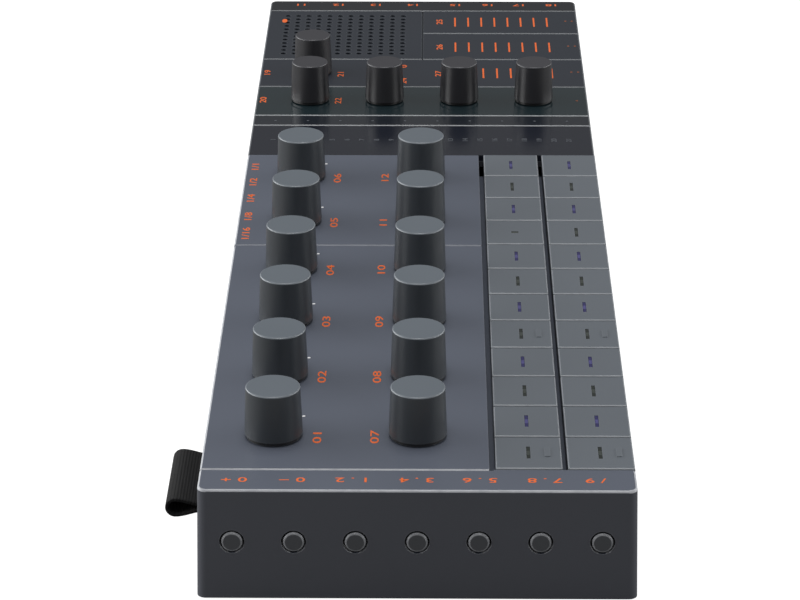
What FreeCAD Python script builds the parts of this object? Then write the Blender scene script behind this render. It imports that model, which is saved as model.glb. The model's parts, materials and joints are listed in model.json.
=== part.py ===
# Drum machine with knobs, keys, end buttons, a speaker and sockets. Sizes are in millimetres.
# X runs along the length towards the socket end, Y to the rear and Z up.
# The origin is on the table, under the middle of the bounding box.

import FreeCAD, Part
import math
import os

vec = FreeCAD.Vector
up = vec(0, 0, 1)
along = vec(1, 0, 0)
tiny = 1e-6

# Case
panel_length = 137.55
track_depth = 63.7
case_height = 26.3
foot_proud = 0.5
side_lean = 0.6
wall = 2.2
roof = 2.2
corner_radius = 2.0
edge_radius = 0.6
end_rim = 10.75
face_gap = 0.3

# A cutting shape reaches past what it cuts, and a post reaches into what carries it
overrun = 1.0
merge = 0.5

# Grooves in the top face: a straight side, then a bevel that faces the button end
groove_width = 0.5
groove_depth = 0.6
groove_bevel = 0.35
track_groove = 129.0
sound_grooves = [23.3, 31.5, 56.0, 80.5]
strip_groove = 104.8

# Dark sound panel
panel_thickness = 1.8
panel_deck = 1.6

# Speaker grille
grille_count = 12
grille_pitch = 3.26
grille_hole = 1.8
grille_from_end = 33.7
grille_from_rear = 24.5

# Keys
key_count = 12
key_pitch = 16.2
key_gap = 0.5
key_depth = 14.75
key_row_gap = 1.2
key_well_gap = 1.4
key_proud = 0.3
key_cap = 4.6
key_skin = 1.5
key_wall = 1.2
key_edge = 0.4
key_stem = 4.4
key_guide_gap = 0.15
key_deck = 1.8
key_travel = 0.8
key_spare = 0.4
key_window_length = 6.0
key_window_width = 0.9
key_window_depth = 0.3
key_dash_length = 1.9
key_dash_width = 1.3
key_mark_length = 4.2
key_mark_width = 1.2
key_mark_rise = 0.2
key_mark_offset = 4.2
marked_keys = [0, 4]
dash_key = 8

# Knobs and their rotary encoders
knob_rise = 12.3
knob_top = 12.3
knob_base = 13.15
knob_skirt = 12.5
dark_knob_rise = 11.8
dark_knob_top = 10.2
dark_knob_base = 11.2
dark_knob_skirt = 10.6
knob_skirt_height = 0.8
knob_panel_gap = 0.3
knob_edge = 0.35
knob_wall = 1.3
knob_lid = 1.6
knob_hub = 7.0
shaft_diameter = 4.0
shaft_clearance = 0.05
shaft_end_gap = 0.3
bush_diameter = 7.0
bush_hole_gap = 0.2
bush_inset = 0.2
encoder_side = 11.7
encoder_height = 6.8
encoder_floor = 1.2
track_first = 16.95
track_pitch = 32.1
track_count = 6
track_rear_inset = 16.1
sound_knob_from_panel = 44.6
sound_knob_pitch = 21.5
sound_knob_count = 4
level_knob_from_panel = 68.6

# Round buttons in both end walls
button_cap = 4.7
button_gap = 0.4
button_height = 13.76
button_proud = 0.3
button_edge = 0.6
button_flange = 6.6
button_flange_thickness = 0.9
button_flange_gap = 0.15
button_stem = 2.4
button_stem_length = 1.2
button_travel = 0.6
left_button_count = 7
left_button_inset = 8.0
right_button_count = 4
right_button_pitch = 10.1
right_button_inset = 7.7

# Sockets in the far end wall
jack_count = 3
jack_from_rear = 22.0
jack_pitch = 11.8
jack_bore = 3.6
jack_nose = 5.8
jack_nose_gap = 0.2
jack_nose_inset = 0.3
jack_body_depth = 12.0
jack_body_width = 7.6
jack_body_height = 5.8
jack_floor = 1.0
usb_from_rear = 10.2
usb_width = 8.34
usb_height = 2.56
usb_shell = 0.3
usb_depth = 7.3
usb_wall_gap = 0.45
usb_corner = 1.2
usb_tongue_width = 6.7
usb_tongue_thickness = 0.7
usb_tongue_setback = 1.0

# Main board and the parts on it
board_top_z = 10.6
board_thickness = 1.6
board_gap = 0.6
switch_side = 6.0
switch_height = 3.5
plunger_diameter = 3.4
plunger_rise = 1.0
switch_play = 0.25
side_switch_width = 6.0
side_switch_height = 5.2
side_switch_depth = 3.6
side_plunger = 0.6
battery_length = 108.0
battery_width = 56.0
battery_thickness = 6.2
battery_from_end = 93.5
battery_edge = 1.5

# Speaker under the grille
speaker_diameter = 36.0
speaker_rim = 1.4
speaker_cone = 29.0
speaker_board_gap = 1.8
speaker_magnet = 20.0
speaker_opening = 34.0
speaker_magnet_lip = 1.5
speaker_magnet_height = 2.4
speaker_basket_lap = 1.0
speaker_basket_step = 0.6
speaker_waist = 4.4
speaker_surround = 2.0
speaker_surround_drop = 0.9
speaker_cone_drop = 3.4
speaker_cap_drop = 2.4

# Power switch in the rear wall
power_from_end = 60.0
power_slot_height = 2.6
power_nub = 3.2
power_travel = 2.5
power_gap = 0.2
power_proud = 0.9
power_plate = 1.0
power_overlap = 1.2
power_lap = 0.9
power_edge = 0.3
power_body_depth = 3.4

# Bottom cover, screws and feet
cover_thickness = 2.0
cover_gap = 0.2
post_diameter = 7.0
boss_diameter = 6.0
boss_side_inset = 6.3
boss_near_inset = 26.9
boss_from_keys = 145.75
boss_far_inset = 16.5
screw_hole = 3.2
screw_pilot = 2.4
screw_head = 5.6
screw_recess = 1.4
pilot_depth = 7.0
foot_diameter = 12.0
foot_height = 1.5
foot_edge = 0.2
foot_end_inset = 13.5
foot_side_inset = 17.5

# Fabric tag
tag_reach = 8.5
tag_width = 26.0
tag_start = 17.4
tag_z = 13.6
tag_swell = 4.6
tag_root = 2.0
tag_strap = 0.8
tag_slot_gap = 0.2
tag_flat = 1.0
tag_seam = 1.2
tag_slit = 0.3
tag_root_inset = 0.2

# Planes and edges that several pieces share
case_length = end_rim + key_count * key_pitch + face_gap + panel_length
case_depth = 2 * (side_lean + key_depth) + key_row_gap + key_well_gap + track_depth
lip_z = foot_proud
top_z = lip_z + case_height
half_length = case_length / 2
half_depth = case_depth / 2
inner_x = half_length - side_lean - wall
inner_y = half_depth - side_lean - wall
key_start = -half_length + end_rim
key_end = key_start + key_count * key_pitch
front_y = -half_depth + side_lean
front_key_y = front_y + key_depth / 2
rear_key_y = front_key_y + key_depth + key_row_gap
well_rear_y = rear_key_y + key_depth / 2 + key_well_gap
key_top_z = top_z + key_proud
key_low_z = key_top_z - key_cap
deck_z = key_low_z - key_travel - key_spare
panel_start = key_end + face_gap
far_groove_x = half_length - end_rim
board_low_z = board_top_z - board_thickness
key_switch_z = board_top_z + switch_height
cover_top_z = lip_z + cover_thickness
button_z = lip_z + button_height
roof_z = top_z - roof
panel_roof_z = top_z - panel_thickness - panel_deck
boss_y = half_depth - boss_side_inset
boss_x = [-half_length + boss_near_inset, key_start + boss_from_keys, half_length - boss_far_inset]
foot_y = half_depth - foot_side_inset
foot_x = [-half_length + foot_end_inset, 0.0, half_length - foot_end_inset]
grille_x = half_length - grille_from_end
grille_y = half_depth - grille_from_rear
track_rear_y = half_depth - track_rear_inset
socket_y = [half_depth - jack_from_rear - i * jack_pitch for i in range(jack_count)]
usb_y = half_depth - usb_from_rear
battery_x = -half_length + battery_from_end
power_x = half_length - power_from_end
tag_x = -half_length + tag_start + tag_width / 2
stem_low_z = key_switch_z + plunger_rise + key_travel + 2 * switch_play
shaft_low_z = board_top_z + encoder_floor + shaft_end_gap
bush_hole = bush_diameter + 2 * bush_hole_gap
bush_top_z = top_z - bush_inset
button_tip_x = inner_x - button_flange_gap - button_flange_thickness - button_stem_length
slider_y = inner_y - power_gap


def lean_at(z):
    """How far the drafted side has come in at a height."""
    return side_lean * (z - lip_z) / case_height


def box(x0, x1, y0, y1, z0, z1):
    return Part.makeBox(x1 - x0, y1 - y0, z1 - z0, vec(x0, y0, z0))


def round_post(x, y, z0, z1, diameter):
    return Part.makeCylinder(diameter / 2, z1 - z0, vec(x, y, z0), up)


def join(first, others):
    return first.fuse(others).removeSplitter()


def long_edges(solid):
    """The edges that run along X."""
    return [e for e in solid.Edges if e.BoundBox.XLength > overrun]


def slab():
    """The whole outer form of the case, with drafted sides and a rounded top edge."""
    tx, ty = half_length - side_lean, half_depth - side_lean
    solid = Part.makeWedge(-half_length, 0, -half_depth, -ty, -tx,
                           half_length, case_height, half_depth, ty, tx)
    solid.rotate(vec(0, 0, 0), along, 90)
    solid.translate(vec(0, 0, lip_z))
    corners = [e for e in solid.Edges if e.BoundBox.ZLength > case_height / 2]
    solid = solid.makeFillet(corner_radius, corners)
    rim = [e for e in solid.Edges if abs(e.BoundBox.ZMin - top_z) < tiny]
    return solid.makeFillet(edge_radius, rim)


def groove(x, y0, y1):
    """A cut across the top, bevelled on the side that faces the button end."""
    a = x - groove_width / 2
    b = x + groove_width / 2
    over = top_z + overrun
    points = [vec(a, y0, over), vec(a, y0, top_z - groove_depth), vec(b, y0, top_z - groove_depth),
              vec(b, y0, top_z - groove_bevel), vec(b + groove_bevel, y0, top_z),
              vec(b + groove_bevel, y0, over)]
    face = Part.Face(Part.makePolygon(points + points[:1]))
    return face.extrude(vec(0, y1 - y0, 0))


def track_knob_places():
    places = {}
    for i in range(track_count):
        x = key_start + track_first + i * track_pitch
        places["rear_track_knob_%d" % (i + 1)] = (x, track_rear_y)
        places["front_track_knob_%d" % (i + 1)] = (x, 0.0)
    return places


def sound_knob_places():
    places = {}
    for i in range(sound_knob_count):
        y = (sound_knob_count - 1 - 2 * i) * sound_knob_pitch / 2
        places["sound_knob_%d" % (i + 1)] = (panel_start + sound_knob_from_panel, y)
    places["level_knob"] = (panel_start + level_knob_from_panel, 1.5 * sound_knob_pitch)
    return places


def key_places():
    places = {}
    for i in range(key_count):
        x = key_start + (i + 0.5) * key_pitch
        places["rear_key_%d" % (i + 1)] = (x, rear_key_y, i)
        places["front_key_%d" % (i + 1)] = (x, front_key_y, i)
    return places


def button_places():
    """Each button's side, -1 or 1 along X, and its Y."""
    places = {}
    pitch = (case_depth - 2 * left_button_inset) / (left_button_count - 1)
    for i in range(left_button_count):
        y = half_depth - left_button_inset - i * pitch
        places["left_end_button_%d" % (i + 1)] = (-1, y)
    for i in range(right_button_count):
        y = -half_depth + right_button_inset + (right_button_count - 1 - i) * right_button_pitch
        places["right_end_button_%d" % (i + 1)] = (1, y)
    return places


def knob_places():
    places = track_knob_places()
    places.update(sound_knob_places())
    return places


def boss_places():
    return [(x, y) for x in boss_x for y in (-boss_y, boss_y)]


def wall_openings():
    """Holes through the walls for buttons, sockets, the power switch and the tag."""
    cuts = []
    start = inner_x - overrun
    run = half_length + overrun - start
    hole = button_cap / 2 + button_gap
    for side, y in button_places().values():
        cuts.append(Part.makeCylinder(hole, run, vec(side * start, y, button_z), along * side))
    nose_hole = jack_nose / 2 + jack_nose_gap
    for y in socket_y:
        cuts.append(Part.makeCylinder(nose_hole, run, vec(start, y, button_z), along))
    w = usb_width / 2 + usb_shell + usb_wall_gap
    h = usb_height / 2 + usb_shell + usb_wall_gap
    slot = box(start, half_length + overrun, usb_y - w, usb_y + w, button_z - h, button_z + h)
    cuts.append(slot.makeFillet(usb_corner + usb_shell + usb_wall_gap, long_edges(slot)))
    reach = power_nub / 2 + power_travel / 2 + power_gap
    cuts.append(box(power_x - reach, power_x + reach, inner_y - overrun, half_depth + overrun,
                    button_z - power_slot_height / 2, button_z + power_slot_height / 2))
    t = tag_root / 2 + tag_slot_gap
    cuts.append(box(tag_x - tag_width / 2 - tag_slot_gap, tag_x + tag_width / 2 + tag_slot_gap,
                    inner_y - overrun, half_depth + overrun, tag_z - t, tag_z + t))
    return cuts


def top_case():
    """The grey upper shell: walls, roof, key deck and the deck under the dark panel."""
    low = lip_z - overrun
    well_end = key_end + key_gap / 2
    cuts = [box(-inner_x, inner_x, -inner_y, inner_y, low, deck_z - key_deck),
            box(-inner_x, panel_start - roof, well_rear_y + wall, inner_y, low, roof_z),
            box(-inner_x, key_start - wall, -inner_y, inner_y, low, roof_z),
            box(panel_start - roof, inner_x, -inner_y, inner_y, low, panel_roof_z),
            box(panel_start - face_gap, half_length + overrun, -half_depth - overrun, half_depth + overrun,
                top_z - panel_thickness, top_z + overrun),
            box(key_start, well_end, -half_depth - overrun, well_rear_y, deck_z, top_z + overrun)]
    for x, y in knob_places().values():
        cuts.append(round_post(x, y, panel_roof_z - overrun, top_z + overrun, bush_hole))
    guide = key_stem / 2 + key_guide_gap
    for x, y, i in key_places().values():
        cuts.append(box(x - guide, x + guide, y - guide, y + guide,
                        deck_z - key_deck - overrun, deck_z + overrun))
    cuts.append(round_post(grille_x, grille_y, panel_roof_z - overrun, top_z, speaker_opening))
    cuts.append(groove(key_start - groove_width / 2, well_rear_y - overrun, half_depth + overrun))
    cuts.append(groove(key_start + track_groove, well_rear_y - overrun, half_depth + overrun))
    shell = slab().cut(cuts + wall_openings())
    bosses = []
    for x, y in boss_places():
        ceiling = deck_z - key_deck
        if x > panel_start:
            ceiling = panel_roof_z
        elif y > 0:
            ceiling = roof_z
        bosses.append(round_post(x, y, board_top_z, ceiling + merge, boss_diameter))
    shell = join(shell, bosses)
    pilots = [round_post(x, y, board_top_z - overrun, board_top_z + pilot_depth, screw_pilot)
              for x, y in boss_places()]
    return [shell.cut(pilots)]


def grille_holes():
    holes = []
    for i in range(grille_count):
        for j in range(grille_count):
            x = grille_x + (i - (grille_count - 1) / 2) * grille_pitch
            y = grille_y + (j - (grille_count - 1) / 2) * grille_pitch
            holes.append(round_post(x, y, top_z - panel_thickness - overrun, top_z + overrun, grille_hole))
    return Part.makeCompound(holes)


def sound_panel():
    """The dark plate over the right half, with its grooves, knob holes and grille."""
    front, rear, low = -half_depth - overrun, half_depth + overrun, top_z - panel_thickness
    area = box(panel_start, half_length + overrun, front, rear, low, top_z + overrun)
    plate = slab().common(area)
    cuts = [groove(panel_start + d, front, rear) for d in sound_grooves]
    cuts.append(groove(panel_start + strip_groove, front, 0))
    cuts.append(groove(far_groove_x, front, rear))
    start = panel_start + sound_grooves[-1]
    cuts.append(box(start, far_groove_x, -groove_width / 2, groove_width / 2,
                    top_z - groove_depth, top_z + overrun))
    for x, y in sound_knob_places().values():
        cuts.append(round_post(x, y, low - overrun, top_z + overrun, bush_hole))
    return [plate.cut(cuts).cut(grille_holes())]


def knob(x, y, rise, top, base, skirt):
    """A plain round cap on its own shaft. The shaft turns in the encoder's bush."""
    foot = top_z + knob_panel_gap
    shoulder = foot + knob_skirt_height
    crown = top_z + rise
    under = crown - knob_lid
    r_top, r_base, r_skirt = top / 2, base / 2, skirt / 2
    e = knob_edge
    profile = [vec(0, 0, under), vec(0, 0, crown), vec(r_top - e, 0, crown), vec(r_top, 0, crown - e),
               vec(r_base, 0, shoulder), vec(r_skirt, 0, shoulder), vec(r_skirt, 0, foot),
               vec(r_skirt - knob_wall, 0, foot), vec(r_skirt - knob_wall, 0, under)]
    middle = vec(r_top - e * (1 - math.sqrt(0.5)), 0, crown - e * (1 - math.sqrt(0.5)))
    edges = [Part.LineSegment(profile[0], profile[1]).toShape(),
             Part.LineSegment(profile[1], profile[2]).toShape(),
             Part.Arc(profile[2], middle, profile[3]).toShape()]
    ring = profile[3:] + profile[:1]
    edges += [Part.LineSegment(a, b).toShape() for a, b in zip(ring, ring[1:])]
    cap = Part.Face(Part.Wire(edges)).revolve(vec(0, 0, 0), up, 360)
    cap.translate(vec(x, y, 0))
    hub_low = top_z + 2 * knob_panel_gap
    hub = round_post(x, y, hub_low, under + merge, knob_hub)
    shaft = round_post(x, y, shaft_low_z, under - merge, shaft_diameter)
    return [join(cap, [hub]).cut(shaft), shaft]


def key(x, y, index, rear):
    """A hollow cap with a square stem that the deck guides down to its switch."""
    hx = (key_pitch - key_gap) / 2
    hy = key_depth / 2
    cap = box(x - hx, x + hx, y - hy, y + hy, key_low_z, key_top_z)
    top = [e for e in cap.Edges if abs(e.BoundBox.ZMin - key_top_z) < tiny]
    cap = cap.makeFillet(key_edge, top)
    ceiling = key_top_z - key_skin
    hollow = box(x - hx + key_wall, x + hx - key_wall, y - hy + key_wall, y + hy - key_wall,
                 key_low_z - overrun, ceiling)
    s = key_stem / 2
    stem = box(x - s, x + s, y - s, y + s, stem_low_z, ceiling + merge)
    long, wide = key_window_length / 2, key_window_width / 2
    if rear and index == dash_key:
        long, wide = key_dash_width / 2, key_dash_length / 2
    window = box(x - long, x + long, y - wide, y + wide, key_top_z - key_window_depth, key_top_z + overrun)
    body = join(cap.cut(hollow), [stem]).cut(window)
    if index in marked_keys:
        m = y - key_mark_offset
        mark = box(x - key_mark_length / 2, x + key_mark_length / 2, m - key_mark_width / 2,
                   m + key_mark_width / 2, key_top_z - merge, key_top_z + key_mark_rise)
        body = join(body, [mark])
    return [body]


def end_button(side, y):
    """A round cap through the wall, a flange behind it and a stem to its switch."""
    face = half_length - lean_at(button_z) + button_proud
    inside = inner_x - button_flange_gap
    cap = Part.makeCylinder(button_cap / 2, face - inside, vec(inside, 0, 0), along)
    edge = [e for e in cap.Edges if abs(e.BoundBox.XMin - face) < tiny and e.BoundBox.XLength < tiny]
    cap = cap.makeFillet(button_edge, edge)
    flange = Part.makeCylinder(button_flange / 2, button_flange_thickness,
                               vec(inside - button_flange_thickness, 0, 0), along)
    stem = Part.makeCylinder(button_stem / 2, inside - button_tip_x, vec(button_tip_x, 0, 0), along)
    whole = join(cap, [flange, stem])
    if side < 0:
        whole = whole.mirror(vec(0, 0, 0), along)
    whole.translate(vec(0, y, button_z))
    return [whole]


def side_switch(side, y):
    """A switch on the board's edge. Its plunger stops short of the button by the travel and a play."""
    front = button_tip_x - button_travel - 2 * switch_play
    face = front - side_plunger
    body = box(face - side_switch_depth, face, -side_switch_width / 2, side_switch_width / 2,
               board_top_z, board_top_z + side_switch_height)
    plunger = Part.makeCylinder(button_stem / 2, side_plunger + merge, vec(face - merge, 0, button_z), along)
    whole = join(body, [plunger])
    if side < 0:
        whole = whole.mirror(vec(0, 0, 0), along)
    whole.translate(vec(0, y, 0))
    return whole


def encoder(x, y):
    """A square body with a bush that reaches up through the roof."""
    s = encoder_side / 2
    body = box(x - s, x + s, y - s, y + s, board_top_z, board_top_z + encoder_height)
    bush = round_post(x, y, board_top_z + encoder_height - merge, bush_top_z, bush_diameter)
    bore = round_post(x, y, board_top_z + encoder_floor, bush_top_z + overrun,
                      shaft_diameter + 2 * shaft_clearance)
    return join(body, [bush]).cut(bore)


def key_switch(x, y):
    s = switch_side / 2
    body = box(x - s, x + s, y - s, y + s, board_top_z, key_switch_z)
    tip = key_switch_z + plunger_rise + switch_play
    plunger = round_post(x, y, key_switch_z - merge, tip, plunger_diameter)
    return join(body, [plunger])


def jack(y):
    """A 3.5 mm socket: its nose reaches into the hole in the end wall."""
    nose_end = half_length - lean_at(button_z) - jack_nose_inset
    body_end = inner_x - board_gap
    body = box(body_end - jack_body_depth, body_end, y - jack_body_width / 2, y + jack_body_width / 2,
               board_top_z, board_top_z + jack_body_height)
    nose_start = body_end - merge
    nose = Part.makeCylinder(jack_nose / 2, nose_end - nose_start, vec(nose_start, y, button_z), along)
    bore_start = body_end - jack_body_depth + jack_floor
    bore_run = nose_end + overrun - bore_start
    bore = Part.makeCylinder(jack_bore / 2, bore_run, vec(bore_start, y, button_z), along)
    return join(body, [nose]).cut(bore)


def usb_socket():
    """An open metal shell with a contact tongue, on a pedestal on the board."""
    end = half_length - lean_at(button_z) - jack_nose_inset
    w, h = usb_width / 2, usb_height / 2
    shell = box(end - usb_depth, end, usb_y - w - usb_shell, usb_y + w + usb_shell,
                button_z - h - usb_shell, button_z + h + usb_shell)
    shell = shell.makeFillet(usb_corner + usb_shell, long_edges(shell))
    inside = box(end - usb_depth + usb_shell, end + overrun, usb_y - w, usb_y + w, button_z - h, button_z + h)
    inside = inside.makeFillet(usb_corner, long_edges(inside))
    tongue = box(end - usb_depth, end - usb_tongue_setback, usb_y - usb_tongue_width / 2,
                 usb_y + usb_tongue_width / 2, button_z - usb_tongue_thickness / 2,
                 button_z + usb_tongue_thickness / 2)
    base = box(end - usb_depth, inner_x - board_gap, usb_y - w, usb_y + w,
               board_top_z, button_z - h - usb_shell / 2)
    return join(shell, [base]).cut(inside).fuse(tongue).removeSplitter()


def power_body():
    """The fixed half of the slide switch, on the board's rear edge."""
    y1 = slider_y - power_plate - power_gap
    reach = power_nub / 2 + power_travel + power_overlap
    return box(power_x - reach, power_x + reach, y1 - power_body_depth, y1,
               board_top_z, button_z + power_slot_height)


def power_switch():
    """A plate that slides behind the wall, with a nub through the slot."""
    reach = power_nub / 2 + power_overlap
    tall = power_slot_height / 2 + power_lap
    plate = box(power_x - reach, power_x + reach, slider_y - power_plate, slider_y,
                button_z - tall, button_z + tall)
    outer = half_depth - lean_at(button_z) + power_proud
    half_nub = power_slot_height / 2 - power_gap
    nub = box(power_x - power_nub / 2, power_x + power_nub / 2, slider_y - power_plate / 2, outer,
              button_z - half_nub, button_z + half_nub)
    nub = nub.makeFillet(power_edge, [e for e in nub.Edges if abs(e.BoundBox.YMin - outer) < tiny])
    whole = join(plate, [nub])
    whole.translate(vec(-power_travel / 2, 0, 0))
    return [whole]


def battery():
    low = cover_top_z
    pack = box(battery_x - battery_length / 2, battery_x + battery_length / 2, -battery_width / 2,
               battery_width / 2, low, low + battery_thickness)
    return pack.makeFillet(battery_edge, [e for e in pack.Edges if e.BoundBox.ZLength > tiny])


def main_board():
    """The board with its encoders, switches, sockets and battery pack, each its own solid."""
    bx = inner_x - board_gap
    by = inner_y - board_gap
    board = box(-bx, bx, -by, by, board_low_z, board_top_z)
    board = board.cut([round_post(x, y, board_low_z - overrun, board_top_z + overrun, screw_hole)
                       for x, y in boss_places()])
    solids = [board, battery(), usb_socket(), power_body()]
    solids += [encoder(x, y) for x, y in knob_places().values()]
    solids += [key_switch(x, y) for x, y, i in key_places().values()]
    solids += [side_switch(side, y) for side, y in button_places().values()]
    solids += [jack(y) for y in socket_y]
    return solids


def speaker():
    """Frame and cone in one turned piece, and the magnet behind it."""
    z1 = panel_roof_z
    z0 = board_top_z + speaker_board_gap + speaker_magnet_height
    rs, rc, rm = speaker_diameter / 2, speaker_cone / 2, speaker_magnet / 2
    rim_z = z1 - speaker_rim
    points = [vec(0, 0, z0), vec(rm, 0, z0), vec(rm, 0, z1 - speaker_waist),
              vec(rc + speaker_basket_lap, 0, rim_z - speaker_basket_step), vec(rs, 0, rim_z), vec(rs, 0, z1),
              vec(rc, 0, z1), vec(rc - speaker_surround, 0, z1 - speaker_surround_drop),
              vec(rm / 2, 0, z1 - speaker_cone_drop), vec(0, 0, z1 - speaker_cap_drop)]
    frame = Part.Face(Part.makePolygon(points + points[:1])).revolve(vec(0, 0, 0), up, 360)
    magnet = Part.makeCylinder(rm + speaker_magnet_lip, speaker_magnet_height,
                               vec(0, 0, z0 - speaker_magnet_height), up)
    for piece in (frame, magnet):
        piece.translate(vec(grille_x, grille_y, 0))
    return [frame, magnet]


def bottom_cover():
    """The plate inside the lip, with posts that carry the board and seats for the feet."""
    x, y = inner_x - cover_gap, inner_y - cover_gap
    plate = box(-x, x, -y, y, lip_z, cover_top_z)
    posts = [round_post(px, py, cover_top_z - merge, board_low_z, post_diameter) for px, py in boss_places()]
    plate = join(plate, posts)
    cuts = []
    for px, py in boss_places():
        cuts.append(round_post(px, py, lip_z - overrun, board_low_z + overrun, screw_hole))
        cuts.append(round_post(px, py, lip_z - overrun, lip_z + screw_recess, screw_head))
    for px in foot_x:
        for py in (-foot_y, foot_y):
            cuts.append(round_post(px, py, lip_z - overrun, foot_height, foot_diameter + 2 * foot_edge))
    return [plate.cut(cuts)]


def feet():
    solids = []
    for px in foot_x:
        for py in (-foot_y, foot_y):
            foot = round_post(px, py, 0, foot_height, foot_diameter)
            solids.append(foot.makeFillet(foot_edge, [e for e in foot.Edges if e.BoundBox.ZMax < tiny]))
    return solids


def tag_outline(y0, y1, root, swell):
    """A teardrop in the YZ plane: slim at the wall and round at the fold."""
    r = swell / 2
    c = y1 - r
    low = [vec(0, y0, tag_z - root / 2), vec(0, c - tag_flat, tag_z - r), vec(0, c, tag_z - r)]
    high = [vec(0, c, tag_z + r), vec(0, c - tag_flat, tag_z + r), vec(0, y0, tag_z + root / 2)]
    bend = Part.Arc(low[2], vec(0, y1, tag_z), high[0]).toShape()
    edges = [Part.LineSegment(a, b).toShape() for a, b in zip(low, low[1:])]
    edges.append(bend)
    edges += [Part.LineSegment(a, b).toShape() for a, b in zip(high, high[1:])]
    edges.append(Part.LineSegment(high[2], low[0]).toShape())
    return Part.Face(Part.Wire(edges))


def fabric_tag():
    """A folded strap: a loop outside the rear wall, with its root through a slot."""
    outside = half_depth - lean_at(tag_z)
    fold = half_depth + tag_reach
    loop = tag_outline(outside, fold, tag_root, tag_swell).extrude(vec(tag_width, 0, 0))
    hole = tag_outline(outside + tag_seam, fold - tag_strap, tag_slit, tag_swell - 2 * tag_strap)
    hole = hole.extrude(vec(tag_width + 2 * overrun, 0, 0))
    hole.translate(vec(-overrun, 0, 0))
    root = box(0, tag_width, inner_y + tag_root_inset, outside + merge,
               tag_z - tag_root / 2, tag_z + tag_root / 2)
    tag = join(loop.cut(hole), [root])
    tag.translate(vec(tag_x - tag_width / 2, 0, 0))
    return [tag]


def export(name, solids):
    """Writes one sub-part, moved so that the origin is under the middle of the whole."""
    shape = solids[0] if len(solids) == 1 else Part.makeCompound(solids)
    shape = shape.copy()
    shape.translate(vec(0, -tag_reach / 2, 0))
    shape.exportStep("parts/%s.step" % name)
    box_now = shape.BoundBox
    print("%-20s %2d solids  valid %s  Z %.2f to %.2f" % (
        name, len(shape.Solids), shape.isValid(), box_now.ZMin, box_now.ZMax))


def main():
    os.makedirs("parts", exist_ok=True)
    export("top_case", top_case())
    export("sound_panel", sound_panel())
    export("bottom_cover", bottom_cover())
    export("main_board", main_board())
    export("speaker", speaker())
    export("feet", feet())
    export("fabric_tag", fabric_tag())
    export("power_switch", power_switch())
    for name, (x, y) in track_knob_places().items():
        export(name, knob(x, y, knob_rise, knob_top, knob_base, knob_skirt))
    for name, (x, y) in sound_knob_places().items():
        export(name, knob(x, y, dark_knob_rise, dark_knob_top, dark_knob_base, dark_knob_skirt))
    for name, (x, y, index) in key_places().items():
        export(name, key(x, y, index, name.startswith("rear")))
    for name, (side, y) in button_places().items():
        export(name, end_button(side, y))


main()
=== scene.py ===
import bpy
import bmesh
import json
import math
from mathutils import Matrix, Vector


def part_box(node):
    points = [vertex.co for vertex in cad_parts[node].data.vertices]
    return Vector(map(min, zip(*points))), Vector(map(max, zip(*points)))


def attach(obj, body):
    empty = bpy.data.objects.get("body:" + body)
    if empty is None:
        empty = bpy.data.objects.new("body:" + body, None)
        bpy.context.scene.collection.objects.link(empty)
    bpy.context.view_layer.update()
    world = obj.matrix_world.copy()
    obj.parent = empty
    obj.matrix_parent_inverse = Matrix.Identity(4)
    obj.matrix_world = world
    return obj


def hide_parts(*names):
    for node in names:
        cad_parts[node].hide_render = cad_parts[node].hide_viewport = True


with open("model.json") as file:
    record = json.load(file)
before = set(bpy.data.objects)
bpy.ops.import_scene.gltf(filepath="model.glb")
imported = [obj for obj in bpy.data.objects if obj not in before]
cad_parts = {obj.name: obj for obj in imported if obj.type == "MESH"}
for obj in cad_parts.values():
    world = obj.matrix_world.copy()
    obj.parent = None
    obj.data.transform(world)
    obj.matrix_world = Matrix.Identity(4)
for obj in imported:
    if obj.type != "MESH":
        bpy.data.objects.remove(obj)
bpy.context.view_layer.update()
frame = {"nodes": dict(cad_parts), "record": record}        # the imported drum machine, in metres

# Places and sizes below are in millimetres, measured from the middle of the case.
# X runs from the button end to the socket end, Y to the rear, Z up from the table.
mm = 0.001
caseLow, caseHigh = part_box("top_case")
midY = (caseLow[1] + caseHigh[1]) / 2

faceZ = 26.8             # the top of the grey panel and of the dark plate
keyFaceZ = 27.1
skirtTopZ = 27.88        # the top of the black ring under each knob
knobEdge = 0.35          # rounding at the top of each knob
knobPitch = 32.1         # along the two rows of track knobs
keyPitch = 16.2
keyStart = -160.75       # where the first key begins
keyCount = 12            # in each row
inkThick = 0.03          # how far printed ink stands up


def place(x, y, z):
    return Vector((x * mm, y * mm + midY, z * mm))


def inMetres(values):
    return tuple(v * mm for v in values)


def screen(r, g, b):
    # a colour as it shows on a screen, 0 to 255
    values = [c / 255 for c in (r, g, b)]
    return tuple(c / 12.92 if c <= 0.04045 else ((c + 0.055) / 1.055) ** 2.4 for c in values) + (1.0,)


def darkened(colour, share):
    return tuple(c * share for c in colour[:3]) + (1.0,)


def link(thing):
    bpy.context.scene.collection.objects.link(thing)
    return thing


def finalMesh(thing):
    # the plain mesh that a curve or a row of modifiers gives
    return bpy.data.meshes.new_from_object(thing.evaluated_get(bpy.context.evaluated_depsgraph_get()))


def meshFrom(shape, name):
    mesh = bpy.data.meshes.new(name)
    shape.to_mesh(mesh)
    shape.free()
    return mesh


def newMaterial(name):
    material = bpy.data.materials.new(name)
    material.use_nodes = True
    return material, material.node_tree, material.node_tree.nodes["Principled BSDF"]


def addNode(tree, kind, **settings):
    node = tree.nodes.new(kind)
    for key, value in settings.items():
        setattr(node, key, value)
    return node


def mathNode(tree, operation, a, b=None, clamp=False):
    node = addNode(tree, "ShaderNodeMath", operation=operation, use_clamp=clamp)
    for socket, value in zip(node.inputs, (a, b)):
        if value is None:
            continue
        if isinstance(value, (int, float)):
            socket.default_value = value
        else:
            tree.links.new(value, socket)
    return node.outputs[0]


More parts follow.
